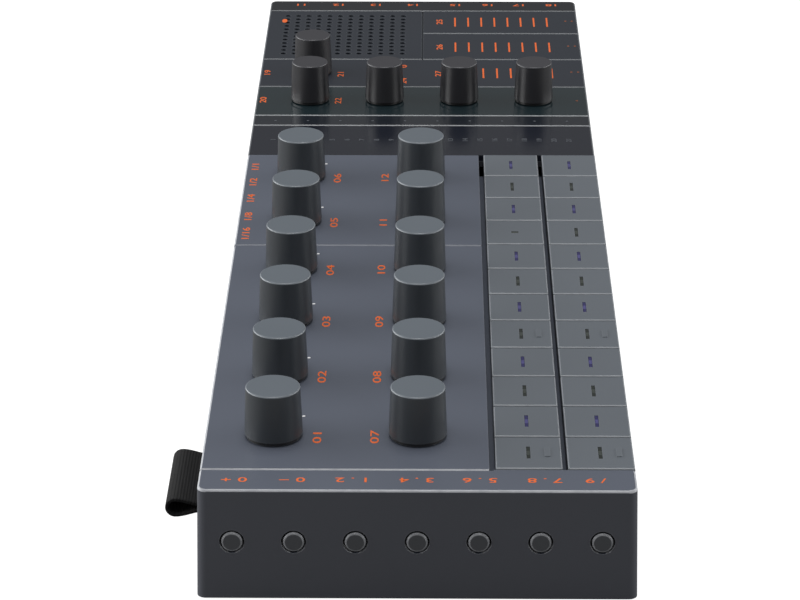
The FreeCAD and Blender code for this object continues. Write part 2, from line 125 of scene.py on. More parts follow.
def mixColour(tree, amount, a, b):
    # sockets 6 and 7 of a mix node are its two colours, and output 2 is their mix
    node = addNode(tree, "ShaderNodeMix", data_type="RGBA")
    for socket, value in ((node.inputs["Factor"], amount), (node.inputs[6], a), (node.inputs[7], b)):
        if isinstance(value, (int, float, tuple)):
            socket.default_value = value
        else:
            tree.links.new(value, socket)
    return node.outputs[2]


# Camera, floor and light

view = {
    "lens": 142.24,
    "sensor": 36.0,
    "from": (-783.5, -3.0, 337.1),
    "down": 23.414,
    "turn": 0.624,
    "roll": -0.08,
    "nearest": 0.01,
}


def makeCamera():
    down, turn, roll = (math.radians(view[k]) for k in ("down", "turn", "roll"))
    ahead = Vector((math.cos(down) * math.cos(turn), math.cos(down) * math.sin(turn), -math.sin(down)))
    right = Vector((math.sin(turn), -math.cos(turn), 0))
    above = right.cross(ahead)
    side = right * math.cos(roll) + above * math.sin(roll)
    top = above * math.cos(roll) - right * math.sin(roll)
    data = bpy.data.cameras.new("camera")
    data.lens = view["lens"]
    data.sensor_width = view["sensor"]
    data.clip_start = view["nearest"]
    camera = link(bpy.data.objects.new("camera", data))
    turned = Matrix((side, top, -ahead)).transposed().to_4x4()
    camera.matrix_world = Matrix.Translation(place(*view["from"])) @ turned
    bpy.context.scene.camera = camera


# places are in millimetres and sizes in metres, and all three aim at the middle of the part
lights = {
    "above": {"at": (-150, 0, 1150), "size": (0.4, 1.1), "watts": 6.6},
    "rear": {"at": (100, 900, 260), "size": (1.3, 0.4), "watts": 10.5},
    "front": {"at": (100, -900, 260), "size": (1.3, 0.4), "watts": 5.5},
}
lightAim = (0, 0, 20)
room = {"ambient": 0.2, "floorColour": 0.3, "floorGlow": 0.95, "floorHalf": 4.0}


def makeLights():
    for name, spec in lights.items():
        data = bpy.data.lights.new(name + "Light", "AREA")
        data.shape = "RECTANGLE"
        data.size, data.size_y = spec["size"]
        data.energy = spec["watts"]
        lamp = link(bpy.data.objects.new(name + "Light", data))
        lamp.location = place(*spec["at"])
        aim = place(*lightAim) - lamp.location
        lamp.rotation_euler = aim.to_track_quat("-Z", "Y").to_euler()


def makeSky():
    # low light from all sides, but white where the camera sees it
    world = bpy.data.worlds.new("room")
    bpy.context.scene.world = world
    world.use_nodes = True
    tree = world.node_tree
    background = tree.nodes["Background"]
    path = addNode(tree, "ShaderNodeLightPath")
    level = addNode(tree, "ShaderNodeMapRange")
    level.inputs["To Min"].default_value = room["ambient"]
    level.inputs["To Max"].default_value = 1.0
    tree.links.new(path.outputs["Is Camera Ray"], level.inputs["Value"])
    tree.links.new(level.outputs["Result"], background.inputs["Strength"])
    background.inputs["Color"].default_value = (1, 1, 1, 1)


def makeFloor():
    # a pale floor that glows for the camera only, so it lights nothing
    half = room["floorHalf"]
    mesh = bpy.data.meshes.new("floor")
    corners = [(-half, -half, 0), (half, -half, 0), (half, half, 0), (-half, half, 0)]
    mesh.from_pydata(corners, [], [(0, 1, 2, 3)])
    material, tree, shader = newMaterial("paleFloor")
    grey = room["floorColour"]
    shader.inputs["Base Color"].default_value = (grey, grey, grey, 1)
    shader.inputs["Roughness"].default_value = 0.9
    shader.inputs["Specular IOR Level"].default_value = 0.1
    shader.inputs["Emission Color"].default_value = (1, 1, 1, 1)
    path = addNode(tree, "ShaderNodeLightPath")
    glow = mathNode(tree, "MULTIPLY", path.outputs["Is Camera Ray"], room["floorGlow"])
    tree.links.new(glow, shader.inputs["Emission Strength"])
    mesh.materials.append(material)
    link(bpy.data.objects.new("floor", mesh))


bpy.context.scene.view_settings.view_transform = "Standard"
makeCamera()
makeLights()
makeSky()
makeFloor()
print("camera, light and floor are set")


# Shared effects, as node groups

def newGroup(name, inputs, outputs):
    group = bpy.data.node_groups.new(name, "ShaderNodeTree")
    for socketName, kind, value in inputs:
        socket = group.interface.new_socket(socketName, in_out="INPUT", socket_type=kind)
        socket.default_value = value
    for socketName in outputs:
        group.interface.new_socket(socketName, in_out="OUTPUT", socket_type="NodeSocketFloat")
    return group, group.nodes.new("NodeGroupInput"), group.nodes.new("NodeGroupOutput")


pitShare = 0.5           # how much the pits add to the grain


def makeGrain():
    # fine moulded texture: a height for the bump and a slow drift of tone
    inputs = [("Scale", "NodeSocketFloat", 4000.0), ("Drift Scale", "NodeSocketFloat", 25.0)]
    group, start, end = newGroup("grain", inputs, ("Height", "Drift"))
    coords = addNode(group, "ShaderNodeTexCoord")
    fine = addNode(group, "ShaderNodeTexNoise")
    fine.inputs["Detail"].default_value = 3
    pits = addNode(group, "ShaderNodeTexVoronoi", feature="F1")
    slow = addNode(group, "ShaderNodeTexNoise")
    slow.inputs["Detail"].default_value = 4
    for node, scale in ((fine, "Scale"), (pits, "Scale"), (slow, "Drift Scale")):
        group.links.new(coords.outputs["Object"], node.inputs["Vector"])
        group.links.new(start.outputs[scale], node.inputs["Scale"])
    shallow = mathNode(group, "MULTIPLY", pits.outputs["Distance"], pitShare)
    group.links.new(mathNode(group, "ADD", fine.outputs["Fac"], shallow), end.inputs["Height"])
    group.links.new(slow.outputs["Fac"], end.inputs["Drift"])
    return group


# how fast the mask of a rounded edge grows off the flat face, and where it ends towards the upright side
roundedEdge = {"offFlat": 30.0, "sideFrom": 0.12, "offSide": 6.0}
patches = {"scale": 350, "detail": 4, "lift": 0.45}


def makeEdgeWearAndHighlight():
    # a mask for rubbed edges that also carries their painted highlight: sharp ones by a bevel, rounded
    # ones by how far they lean off an axis
    inputs = [("Radius", "NodeSocketFloat", 0.0004), ("Gain", "NodeSocketFloat", 2.0),
              ("Axis", "NodeSocketVector", (0.0, 0.0, 1.0)), ("Flat", "NodeSocketFloat", 0.975)]
    group, start, end = newGroup("edgeWearAndHighlight", inputs, ("Mask",))
    bevel = addNode(group, "ShaderNodeBevel", samples=4)
    group.links.new(start.outputs["Radius"], bevel.inputs["Radius"])
    plain = addNode(group, "ShaderNodeNewGeometry")
    dots = []
    for other in (bevel.outputs["Normal"], start.outputs["Axis"]):
        dot = addNode(group, "ShaderNodeVectorMath", operation="DOT_PRODUCT")
        group.links.new(other, dot.inputs[0])
        group.links.new(plain.outputs["Normal"], dot.inputs[1])
        dots.append(dot.outputs["Value"])
    sharp = mathNode(group, "MULTIPLY", mathNode(group, "SUBTRACT", 1.0, dots[0]), start.outputs["Gain"])
    lean = mathNode(group, "ABSOLUTE", dots[1])
    fromFlat = mathNode(group, "SUBTRACT", start.outputs["Flat"], lean)
    offFlat = mathNode(group, "MULTIPLY", fromFlat, roundedEdge["offFlat"], clamp=True)
    fromSide = mathNode(group, "SUBTRACT", lean, roundedEdge["sideFrom"])
    offSide = mathNode(group, "MULTIPLY", fromSide, roundedEdge["offSide"], clamp=True)
    rounded = mathNode(group, "MULTIPLY", offFlat, offSide)
    coords = addNode(group, "ShaderNodeTexCoord")
    patchNoise = addNode(group, "ShaderNodeTexNoise")
    patchNoise.inputs["Scale"].default_value = patches["scale"]
    patchNoise.inputs["Detail"].default_value = patches["detail"]
    group.links.new(coords.outputs["Object"], patchNoise.inputs["Vector"])
    both = mathNode(group, "MAXIMUM", sharp, rounded)
    patchy = mathNode(group, "ADD", patchNoise.outputs["Fac"], patches["lift"])
    group.links.new(mathNode(group, "MULTIPLY", both, patchy, clamp=True), end.inputs["Mask"])
    return group


dustShape = {"cloudScale": 22, "cloudDetail": 6, "speckSize": 0.05}


def makeDust():
    # a few specks and a thin film that lies on upward faces
    inputs = [("Specks", "NodeSocketFloat", 900.0), ("Film", "NodeSocketFloat", 0.3)]
    group, start, end = newGroup("dust", inputs, ("Mask",))
    coords = addNode(group, "ShaderNodeTexCoord")
    geometry = addNode(group, "ShaderNodeNewGeometry")
    split = addNode(group, "ShaderNodeSeparateXYZ")
    group.links.new(geometry.outputs["Normal"], split.inputs[0])
    upward = mathNode(group, "MAXIMUM", split.outputs["Z"], 0.0)
    cloud = addNode(group, "ShaderNodeTexNoise")
    cloud.inputs["Scale"].default_value = dustShape["cloudScale"]
    cloud.inputs["Detail"].default_value = dustShape["cloudDetail"]
    speck = addNode(group, "ShaderNodeTexVoronoi", feature="F1")
    group.links.new(start.outputs["Specks"], speck.inputs["Scale"])
    for node in (cloud, speck):
        group.links.new(coords.outputs["Object"], node.inputs["Vector"])
    near = mathNode(group, "LESS_THAN", speck.outputs["Distance"], dustShape["speckSize"])
    film = mathNode(group, "MULTIPLY", cloud.outputs["Fac"], start.outputs["Film"])
    laid = mathNode(group, "MULTIPLY", mathNode(group, "ADD", near, film), upward, clamp=True)
    group.links.new(laid, end.inputs["Mask"])
    return group


def makeZone():
    # 1 where a value lies between two limits, with a soft border
    inputs = [("Value", "NodeSocketFloat", 0.0), ("From", "NodeSocketFloat", 0.0),
              ("To", "NodeSocketFloat", 1.0), ("Soft", "NodeSocketFloat", 0.0001)]
    group, start, end = newGroup("zone", inputs, ("Mask",))
    above = mathNode(group, "SUBTRACT", start.outputs["Value"], start.outputs["From"])
    below = mathNode(group, "SUBTRACT", start.outputs["To"], start.outputs["Value"])
    least = mathNode(group, "MINIMUM", above, below)
    level = mathNode(group, "DIVIDE", least, start.outputs["Soft"])
    group.links.new(mathNode(group, "ADD", level, 0.5, clamp=True), end.inputs["Mask"])
    return group


weaveShape = {"warpHeight": 0.35, "fuzzScale": 5000}


def makeWeave():
    # a tight ribbed weave in the ribbon's own UV map, one unit to a metre
    inputs = [("Ribs", "NodeSocketFloat", 1500.0), ("Warps", "NodeSocketFloat", 2600.0)]
    group, start, end = newGroup("weave", inputs, ("Height", "Fuzz"))
    coords = addNode(group, "ShaderNodeTexCoord")
    split = addNode(group, "ShaderNodeSeparateXYZ")
    group.links.new(coords.outputs["UV"], split.inputs[0])
    across = mathNode(group, "MULTIPLY", split.outputs["X"], start.outputs["Warps"])
    along = mathNode(group, "MULTIPLY", split.outputs["Y"], start.outputs["Ribs"])
    everyOther = mathNode(group, "MODULO", mathNode(group, "FLOOR", along), 2.0)
    shifted = mathNode(group, "ADD", across, mathNode(group, "MULTIPLY", everyOther, 0.5))
    warp = mathNode(group, "SINE", mathNode(group, "MULTIPLY", shifted, math.tau))
    rib = mathNode(group, "SINE", mathNode(group, "MULTIPLY", mathNode(group, "FRACT", along), math.pi))
    high = mathNode(group, "ADD", mathNode(group, "MULTIPLY", warp, weaveShape["warpHeight"]), rib)
    group.links.new(high, end.inputs["Height"])
    fuzz = addNode(group, "ShaderNodeTexNoise")
    fuzz.inputs["Scale"].default_value = weaveShape["fuzzScale"]
    group.links.new(coords.outputs["UV"], fuzz.inputs["Vector"])
    group.links.new(fuzz.outputs["Fac"], end.inputs["Fuzz"])
    return group


grainGroup = makeGrain()
edgeWearAndHighlightGroup = makeEdgeWearAndHighlight()
dustGroup = makeDust()
zoneGroup = makeZone()
weaveGroup = makeWeave()
print("shared effects are made")


# Finishes

def groupNode(tree, group, **values):
    # an underscore in a key stands for the space in a socket's name
    node = addNode(tree, "ShaderNodeGroup", node_tree=group)
    for key, value in values.items():
        socket = node.inputs[key.replace("_", " ")]
        if isinstance(value, (int, float, tuple)):
            socket.default_value = value
        else:
            tree.links.new(value, socket)
    return node


def objectAxis(tree, axis):
    coords = addNode(tree, "ShaderNodeTexCoord")
    split = addNode(tree, "ShaderNodeSeparateXYZ")
    tree.links.new(coords.outputs["Object"], split.inputs[0])
    return split.outputs[axis]


def zoneMask(tree, value, low, high, soft=0.1):
    node = groupNode(tree, zoneGroup, Value=value, From=low * mm, To=high * mm, Soft=soft * mm)
    return node.outputs["Mask"]


dustTone = screen(150, 150, 148)
dustShare = 0.12         # of its tone in the colour
glossDrift = 0.12        # how far the gloss wanders
dustMatting = 0.2        # how much duller dust makes a face
wearAndHighlightGain = 2.2         # how much lighter a rubbed edge with its painted highlight is where a finish names no colour for it
wearAndHighlightLift = 0.02


def plastic(name, colour, rough, specular=0.5, grain=4000.0, grainDepth=0.000006, wearAndHighlight=0.35,
            wearAndHighlightColour=None, film=0.1, drift=0.12, paint=None, gloss=None, axis=(0.0, 0.0, 1.0),
            gain=2.0, wearAndHighlightShaping=None):
    # a moulded plastic with grain, rubbed edges lightened as wear and painted highlight, and a little
    # dust
    material, tree, shader = newMaterial(name)
    shader.inputs["Specular IOR Level"].default_value = specular
    grained = groupNode(tree, grainGroup, Scale=grain)
    wornAndLit = groupNode(tree, edgeWearAndHighlightGroup, Axis=axis, Gain=gain)
    dusty = groupNode(tree, dustGroup, Film=film)
    base = colour if paint is None else paint(tree, colour)
    darker = mixColour(tree, drift, base, (0.0, 0.0, 0.0, 1.0))
    tone = mixColour(tree, grained.outputs["Drift"], darker, base)
    lighter = wearAndHighlightColour or tuple(min(1.0, c * wearAndHighlightGain + wearAndHighlightLift) for c in colour[:3]) + (1.0,)
    amount = wearAndHighlight if wearAndHighlightShaping is None else wearAndHighlightShaping(tree, wearAndHighlight)
    edged = mixColour(tree, mathNode(tree, "MULTIPLY", wornAndLit.outputs["Mask"], amount), tone, lighter)
    dusted = mathNode(tree, "MULTIPLY", dusty.outputs["Mask"], dustShare)
    tree.links.new(mixColour(tree, dusted, edged, dustTone), shader.inputs["Base Color"])
    level = rough if gloss is None else gloss(tree, rough)
    offMiddle = mathNode(tree, "SUBTRACT", grained.outputs["Drift"], 0.5)
    uneven = mathNode(tree, "MULTIPLY", offMiddle, glossDrift)
    matted = mathNode(tree, "MULTIPLY", dusty.outputs["Mask"], dustMatting)
    roughness = mathNode(tree, "ADD", mathNode(tree, "ADD", uneven, level), matted)
    tree.links.new(roughness, shader.inputs["Roughness"])
    bump = addNode(tree, "ShaderNodeBump")
    bump.inputs["Distance"].default_value = grainDepth
    tree.links.new(grained.outputs["Height"], bump.inputs["Height"])
    tree.links.new(bump.outputs["Normal"], shader.inputs["Normal"])
    return material


# stretches of the dark plate along X, each with its tint
plateZones = {
    "ledBand": {"x": (33.9, 57.2), "tint": (27, 31, 42)},
    "narrowStrip": {"x": (57.2, 65.4), "tint": (31, 36, 44)},
    "glossy": {"x": (65.4, 89.9), "tint": (29, 43, 48)},
    "farRim": {"x": (160.7, 172.0), "tint": (34, 36, 41)},
}
plateShine = 0.27        # how much smoother its first three stretches are


def plateColour(tree, colour):
    x = objectAxis(tree, "X")
    for zone in plateZones.values():
        colour = mixColour(tree, zoneMask(tree, x, *zone["x"]), colour, screen(*zone["tint"]))
    return colour


def plateGloss(tree, rough):
    x = objectAxis(tree, "X")
    shiny = zoneMask(tree, x, plateZones["ledBand"]["x"][0], plateZones["glossy"]["x"][1])
    return mathNode(tree, "SUBTRACT", rough, mathNode(tree, "MULTIPLY", shiny, plateShine))


ringTone = screen(10, 10, 11)


def knobColour(node, shade):
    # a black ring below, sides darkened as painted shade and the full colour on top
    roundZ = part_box(node)[1][2] / mm - knobEdge

    def paint(tree, colour):
        z = objectAxis(tree, "Z")
        # painted shade: the sides take the colour darkened by the shade share
        sides = mixColour(tree, zoneMask(tree, z, skirtTopZ, roundZ), colour, darkened(colour, shade))
        return mixColour(tree, zoneMask(tree, z, 0, skirtTopZ), sides, ringTone)

    return paint


# the colour of the painted shade on upright walls
wallShadeTone = screen(74, 76, 83)
wallShadeFade = 3.0           # how soon a leaning face takes the colour of the top
trackGroove = (-32.6, -30.9)
grooveCalm = 0.75


def caseColour(tree, colour):
    # painted shade: the upright walls are painted a little darker and less blue than the top
    geometry = addNode(tree, "ShaderNodeNewGeometry")
    split = addNode(tree, "ShaderNodeSeparateXYZ")
    tree.links.new(geometry.outputs["Normal"], split.inputs[0])
    lean = mathNode(tree, "ABSOLUTE", split.outputs["Z"])
    # painted shade, strongest where a face stands upright
    wall = mathNode(tree, "SUBTRACT", 1.0, mathNode(tree, "MULTIPLY", lean, wallShadeFade), clamp=True)
    return mixColour(tree, wall, colour, wallShadeTone)


def caseWearAndHighlight(tree, wearAndHighlight):
    # the thin groove across the track area gets little of the rubbed-edge lightening and painted
    # highlight
    groove = zoneMask(tree, objectAxis(tree, "X"), *trackGroove)
    return mathNode(tree, "SUBTRACT", wearAndHighlight, mathNode(tree, "MULTIPLY", groove, wearAndHighlight * grooveCalm))


# heights on the board group: bodies of the parts, their metal tops, the battery pack under the board
boardZones = {
    "bodies": {"z": (10.61, 40.0), "tint": (46, 46, 48)},
    "metal": {"z": (17.5, 40.0), "tint": (150, 150, 148)},
    "battery": {"z": (2.4, 8.95), "tint": (70, 90, 130)},
}


def boardColour(tree, colour):
    z = objectAxis(tree, "Z")
    for zone in boardZones.values():
        colour = mixColour(tree, zoneMask(tree, z, *zone["z"]), colour, screen(*zone["tint"]))
    return colour


# the light edge colours below are painted highlights along rounded edges as well as wear, and the knob
# shares are painted shade on their sides
finishes = {
    "case_grey": plastic("caseGrey", screen(92, 98, 111), 0.44, film=0.25, wearAndHighlight=0.7, gain=0.5,
                         wearAndHighlightColour=screen(214, 216, 220), paint=caseColour, wearAndHighlightShaping=caseWearAndHighlight),
    "panel_dark": plastic("darkPlate", screen(42, 47, 56), 0.42, grain=5000.0, wearAndHighlight=0.55, gain=1.2,
                          wearAndHighlightColour=screen(140, 144, 148), paint=plateColour, gloss=plateGloss),
    "cover_black": plastic("coverBlack", screen(44, 44, 46), 0.6, grain=1800.0, grainDepth=0.00003),
    "board_green": plastic("boardGreen", screen(25, 88, 58), 0.4, paint=boardColour),
    "speaker_black": plastic("speakerBlack", screen(34, 34, 35), 0.75, grain=2500.0, grainDepth=0.00002),
    "foot_rubber": plastic("footRubber", screen(28, 28, 29), 0.85, specular=0.3, grain=2200.0,
                           grainDepth=0.00003),
    "knob_grey": plastic("knobGrey", screen(102, 110, 118), 0.36, specular=0.7, wearAndHighlight=0.22,
                         wearAndHighlightColour=screen(165, 170, 174), paint=knobColour("rear_track_knob_1", 0.26)),
    "knob_dark": plastic("knobDark", screen(59, 59, 64), 0.36, specular=0.6, wearAndHighlight=0.2,
                         wearAndHighlightColour=screen(110, 112, 116), paint=knobColour("level_knob", 0.4)),
    "key_grey": plastic("keyGrey", screen(105, 111, 118), 0.36, grain=6000.0, gain=1.0,
                        wearAndHighlightColour=screen(190, 194, 198)),
    "button_black": plastic("buttonBlack", screen(70, 72, 76), 0.38, wearAndHighlight=0.8,
                            wearAndHighlightColour=screen(150, 152, 156), axis=(1.0, 0.0, 0.0)),
}


def dressFrame():
    # the tag alone has no finish here, since a woven strap takes its place
    slotOf = {part["node"]: part["material_slot"] for part in frame["record"]["subparts"]}
    for name, piece in frame["nodes"].items():
        finish = finishes.get(slotOf[name])
        if finish is None:
            continue
        if not piece.material_slots:
            piece.data.materials.append(finish)
        for slot in piece.material_slots:
            slot.material = finish


dressFrame()
print("finishes are on the frame")


ink = {"specular": 0.25, "grain": 7000.0, "drift": 900.0, "thinShare": 0.72}


def inkMaterial(name, colour, rough=0.55):
    # printed ink: thin, a little patchy
    material, tree, shader = newMaterial(name)
    shader.inputs["Roughness"].default_value = rough
    shader.inputs["Specular IOR Level"].default_value = ink["specular"]
    grained = groupNode(tree, grainGroup, Scale=ink["grain"], Drift_Scale=ink["drift"])
    patchy = mixColour(tree, grained.outputs["Drift"], darkened(colour, ink["thinShare"]), colour)
    tree.links.new(patchy, shader.inputs["Base Color"])
    return material


orangeInk = inkMaterial("orangeInk", screen(255, 122, 64))
dimInk = inkMaterial("dimInk", screen(92, 96, 102))
dotInk = inkMaterial("dotInk", screen(150, 88, 62))
whiteDot = inkMaterial("whiteDot", screen(250, 250, 250), 0.3)


def newPiece(name, mesh, body, material):
    mesh.materials.clear()
    mesh.materials.append(material)
    piece = link(bpy.data.objects.new(name, mesh))
    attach(piece, body)
    return piece


# Printed numbers

letters = {"sizePerCap": 1.38, "curveSteps": 3, "fatten": 0.00003}


def textMesh(words, height):
    # flat lettering of one cap height, its middle at the origin
    curve = bpy.data.curves.new("words", "FONT")
    curve.body = words
    curve.size = height * mm * letters["sizePerCap"]
    curve.align_x = "CENTER"
    curve.align_y = "CENTER"
    curve.resolution_u = letters["curveSteps"]
    curve.extrude = inkThick * mm / 2
    curve.offset = letters["fatten"]
    carrier = link(bpy.data.objects.new("words", curve))
    mesh = finalMesh(carrier)
    bpy.data.objects.remove(carrier)
    bpy.data.curves.remove(curve)
    return mesh


def printWords(name, labels, material):
    # a label holds words, X, Y, cap height, stretch and the way it runs: along X or along Y
    whole = bmesh.new()
    for words, x, y, height, stretch, way in labels:
        mesh = textMesh(words, height)
        turn = 0 if way == "x" else math.pi / 2
        across = Matrix.Scale(stretch, 4, (1, 0, 0))
        moved = Matrix.Translation(place(x, y, faceZ + inkThick / 2))
        mesh.transform(moved @ Matrix.Rotation(turn, 4, "Z") @ across)
        whole.from_mesh(mesh)
        bpy.data.meshes.remove(mesh)
    bmesh.ops.recalc_face_normals(whole, faces=whole.faces)
    return newPiece(name, meshFrom(whole, name), "case", material)


trackMarks = {
    "firstX": -144.4, "count": 6, "height": 2.0, "stretch": 2.5,
    "rows": ((1, 22.5), (7, 9.6)),       # the first number and the Y of each row
}
rateMarks = {
    "y": 45.2, "height": 2.0, "stretch": 1.8,
    "x": {"1/16": -24.0, "1/8": -12.2, "1/4": 0.9, "1/2": 12.8, "1/1": 24.5},
}
nearMarks = {
    "x": -165.8, "height": 2.2, "stretch": 1.45,
    "y": {"0 +": 40.1, "0 −": 27.4, "1 . 2": 14.1, "3 . 4": 0.1, "5 . 6": -13.7, "7 . 8": -27.9,
          "/ 9": -38.9},
}
farMarks = {
    "x": 166.9, "height": 1.9, "stretch": 1.6,
    "y": {"11": 38.3, "12": 26.3, "13": 14.6, "14": 2.9, "15": -10.4, "16": -20.6, "17": -30.4,
          "18": -40.6},
}
plateMarks = {
    "height": 1.9, "stretch": 1.9,
    "at": {"19": (102.1, 45.7), "20": (78.5, 45.8), "21": (101.3, 24.0), "22": (77.8, 24.1),
           "0": (108.2, 5.4), "24": (95.3, 5.4), "25": (150.1, -5.3), "26": (126.0, -5.3),
           "27": (101.6, -4.9)},
}
bandMarks = {"x": 45.8, "firstY": 41.4, "lastY": -41.3, "count": 21, "height": 1.5, "stretch": 1.3}


def label(marks, words, x, y, way):
    return (words, x, y, marks["height"], marks["stretch"], way)


def orangeLabels():
    labels = []
    for i in range(trackMarks["count"]):
        x = trackMarks["firstX"] + knobPitch * i
        for first, y in trackMarks["rows"]:
            labels.append(label(trackMarks, "%02d" % (i + first), x, y, "x"))
    labels += [label(rateMarks, words, x, rateMarks["y"], "x") for words, x in rateMarks["x"].items()]
    labels += [label(nearMarks, words, nearMarks["x"], y, "y") for words, y in nearMarks["y"].items()]
    labels += [label(farMarks, words, farMarks["x"], y, "y") for words, y in farMarks["y"].items()]
    labels += [label(plateMarks, words, x, y, "x") for words, (x, y) in plateMarks["at"].items()]
    return labels


def dimLabels():
    step = (bandMarks["lastY"] - bandMarks["firstY"]) / (bandMarks["count"] - 1)
    return [label(bandMarks, str(i + 1), bandMarks["x"], bandMarks["firstY"] + i * step, "x")
            for i in range(bandMarks["count"])]


printWords("orangeNumbers", orangeLabels(), orangeInk)
printWords("bandNumbers", dimLabels(), dimInk)
print("numbers are printed")


# Rows of like marks come from one small tree: a line of places with a shape on each

def geometryTree(name, inputs):
    tree = bpy.data.node_groups.new(name, "GeometryNodeTree")
    tree.interface.new_socket("Geometry", in_out="OUTPUT", socket_type="NodeSocketGeometry")
    for socketName, kind, value in inputs:
        socket = tree.interface.new_socket(socketName, in_out="INPUT", socket_type=kind)
        socket.default_value = value
    return tree, tree.nodes.new("NodeGroupInput"), tree.nodes.new("NodeGroupOutput")


def finishTree(tree, instances, material, end):
    real = addNode(tree, "GeometryNodeRealizeInstances")
    tree.links.new(instances, real.inputs[0])
    paint = addNode(tree, "GeometryNodeSetMaterial")
    tree.links.new(real.outputs[0], paint.inputs["Geometry"])
    tree.links.new(material, paint.inputs["Material"])
    tree.links.new(paint.outputs[0], end.inputs[0])


def lineOfPlaces(tree, start):
    line = addNode(tree, "GeometryNodeMeshLine")
    for socketName, lineSocket in (("Count", "Count"), ("Start", "Start Location"), ("Step", "Offset")):
        tree.links.new(start.outputs[socketName], line.inputs[lineSocket])
    return line.outputs["Mesh"]


discSides = 20


def makeMarkTree():
    # a row of flat marks, boxes or discs
    tree, start, end = geometryTree("markRow", [
        ("Count", "NodeSocketInt", 8),
        ("Start", "NodeSocketVector", (0, 0, 0)),
        ("Step", "NodeSocketVector", (0, 0, 0)),
        ("Size", "NodeSocketVector", (0.001, 0.001, 0.001)),
        ("Discs", "NodeSocketBool", False),
        ("Material", "NodeSocketMaterial", None)])
    box = addNode(tree, "GeometryNodeMeshCube")
    disc = addNode(tree, "GeometryNodeMeshCylinder")
    disc.inputs["Vertices"].default_value = discSides
    disc.inputs["Radius"].default_value = 0.5
    disc.inputs["Depth"].default_value = 1.0
    pick = addNode(tree, "GeometryNodeSwitch", input_type="GEOMETRY")
    tree.links.new(start.outputs["Discs"], pick.inputs["Switch"])
    tree.links.new(box.outputs["Mesh"], pick.inputs["False"])
    tree.links.new(disc.outputs["Mesh"], pick.inputs["True"])
    marks = addNode(tree, "GeometryNodeInstanceOnPoints")
    tree.links.new(lineOfPlaces(tree, start), marks.inputs["Points"])
    tree.links.new(pick.outputs[0], marks.inputs["Instance"])
    tree.links.new(start.outputs["Size"], marks.inputs["Scale"])
    finishTree(tree, marks.outputs["Instances"], start.outputs["Material"], end)
    return tree


def growPiece(name, tree, values, body):
    # runs a tree on an empty mesh and keeps the plain result
    seed = link(bpy.data.objects.new(name + "Seed", bpy.data.meshes.new(name + "Seed")))
    modifier = seed.modifiers.new("grow", "NODES")
    modifier.node_group = tree
    for item in tree.interface.items_tree:
        if item.item_type == "SOCKET" and item.in_out == "INPUT" and item.name in values:
            modifier[item.identifier] = values[item.name]
    mesh = finalMesh(seed)
    seed.modifiers.remove(modifier)
    bpy.data.objects.remove(seed)
    mesh.name = name
    return newPiece(name, mesh, body, values["Material"])


markTree = makeMarkTree()


def markRow(name, spec, discs=True):
    x, y = spec["first"]
    values = {
        "Count": spec["count"],
        "Start": tuple(place(x, y, faceZ + spec["size"][2] / 2)),
        "Step": inMetres(spec["step"]),
        "Size": inMetres(spec["size"]),
        "Discs": discs,
        "Material": spec["ink"],
    }
    return growPiece(name, markTree, values, "case")


touchStrips = {"x": (149.8, 125.9, 102.1), "firstY": -10.0, "pitch": 4.06, "count": 8,
               "size": (8.6, 0.5, inkThick)}
pageDots = {"pastX": 1.2, "firstY": -44.2, "pitch": 2.0, "count": 2, "size": (0.9, 0.7, inkThick)}
lonePageDot = {"first": (78.3, -44.8), "step": (0, -1, 0), "count": 1, "size": pageDots["size"],
               "ink": dotInk}
micDot = {"first": (150.8, 42.8), "step": (0, -1, 0), "count": 1, "size": (3.4, 1.6, inkThick),
          "ink": orangeInk}
stripDots = {"first": (61.2, 41.5), "step": (0, -9.2, 0), "count": 10, "size": (0.7, 0.7, inkThick),
             "ink": dimInk}
trackLamps = {"first": (-133.8, 26.0), "step": (knobPitch, 0, 0), "count": 6, "size": (0.7, 0.7, 0.1),
              "ink": whiteDot}


def makeStripMarks():
    for i, x in enumerate(touchStrips["x"]):
        ticks = {"first": (x, touchStrips["firstY"]), "step": (0, -touchStrips["pitch"], 0),
                 "count": touchStrips["count"], "size": touchStrips["size"], "ink": orangeInk}
        pages = {"first": (x + pageDots["pastX"], pageDots["firstY"]), "step": (0, -pageDots["pitch"], 0),
                 "count": pageDots["count"], "size": pageDots["size"], "ink": dotInk}
        markRow("stripTicks%d" % (i + 1), ticks, discs=False)
        markRow("pageDots%d" % (i + 1), pages)


makeStripMarks()
markRow("pageDot", lonePageDot)
markRow("micDot", micDot)
markRow("stripDots", stripDots)
markRow("trackLamps", trackLamps)
print("ticks and dots are printed")


# Key lenses

lens = {
    "length": 5.9,
    "width": 0.82,
    "dashLength": 1.8,
    "dashWidth": 1.2,
    "dashKey": 8,
    "sunk": 0.06,
    "thick": 0.2,
    "edge": 0.048,
    "middleShare": 0.062,    # half the lighter middle, as a share of the key pitch
    "rough": 0.22,
    "grain": 5000.0,
    "drift": 700.0,
    "patchShare": 0.4,
    "patchTone": (20, 20, 24),
    "greyTones": ((44, 50, 46), (72, 78, 74)),
    "violetTones": ((56, 54, 106), (92, 90, 146)),
}


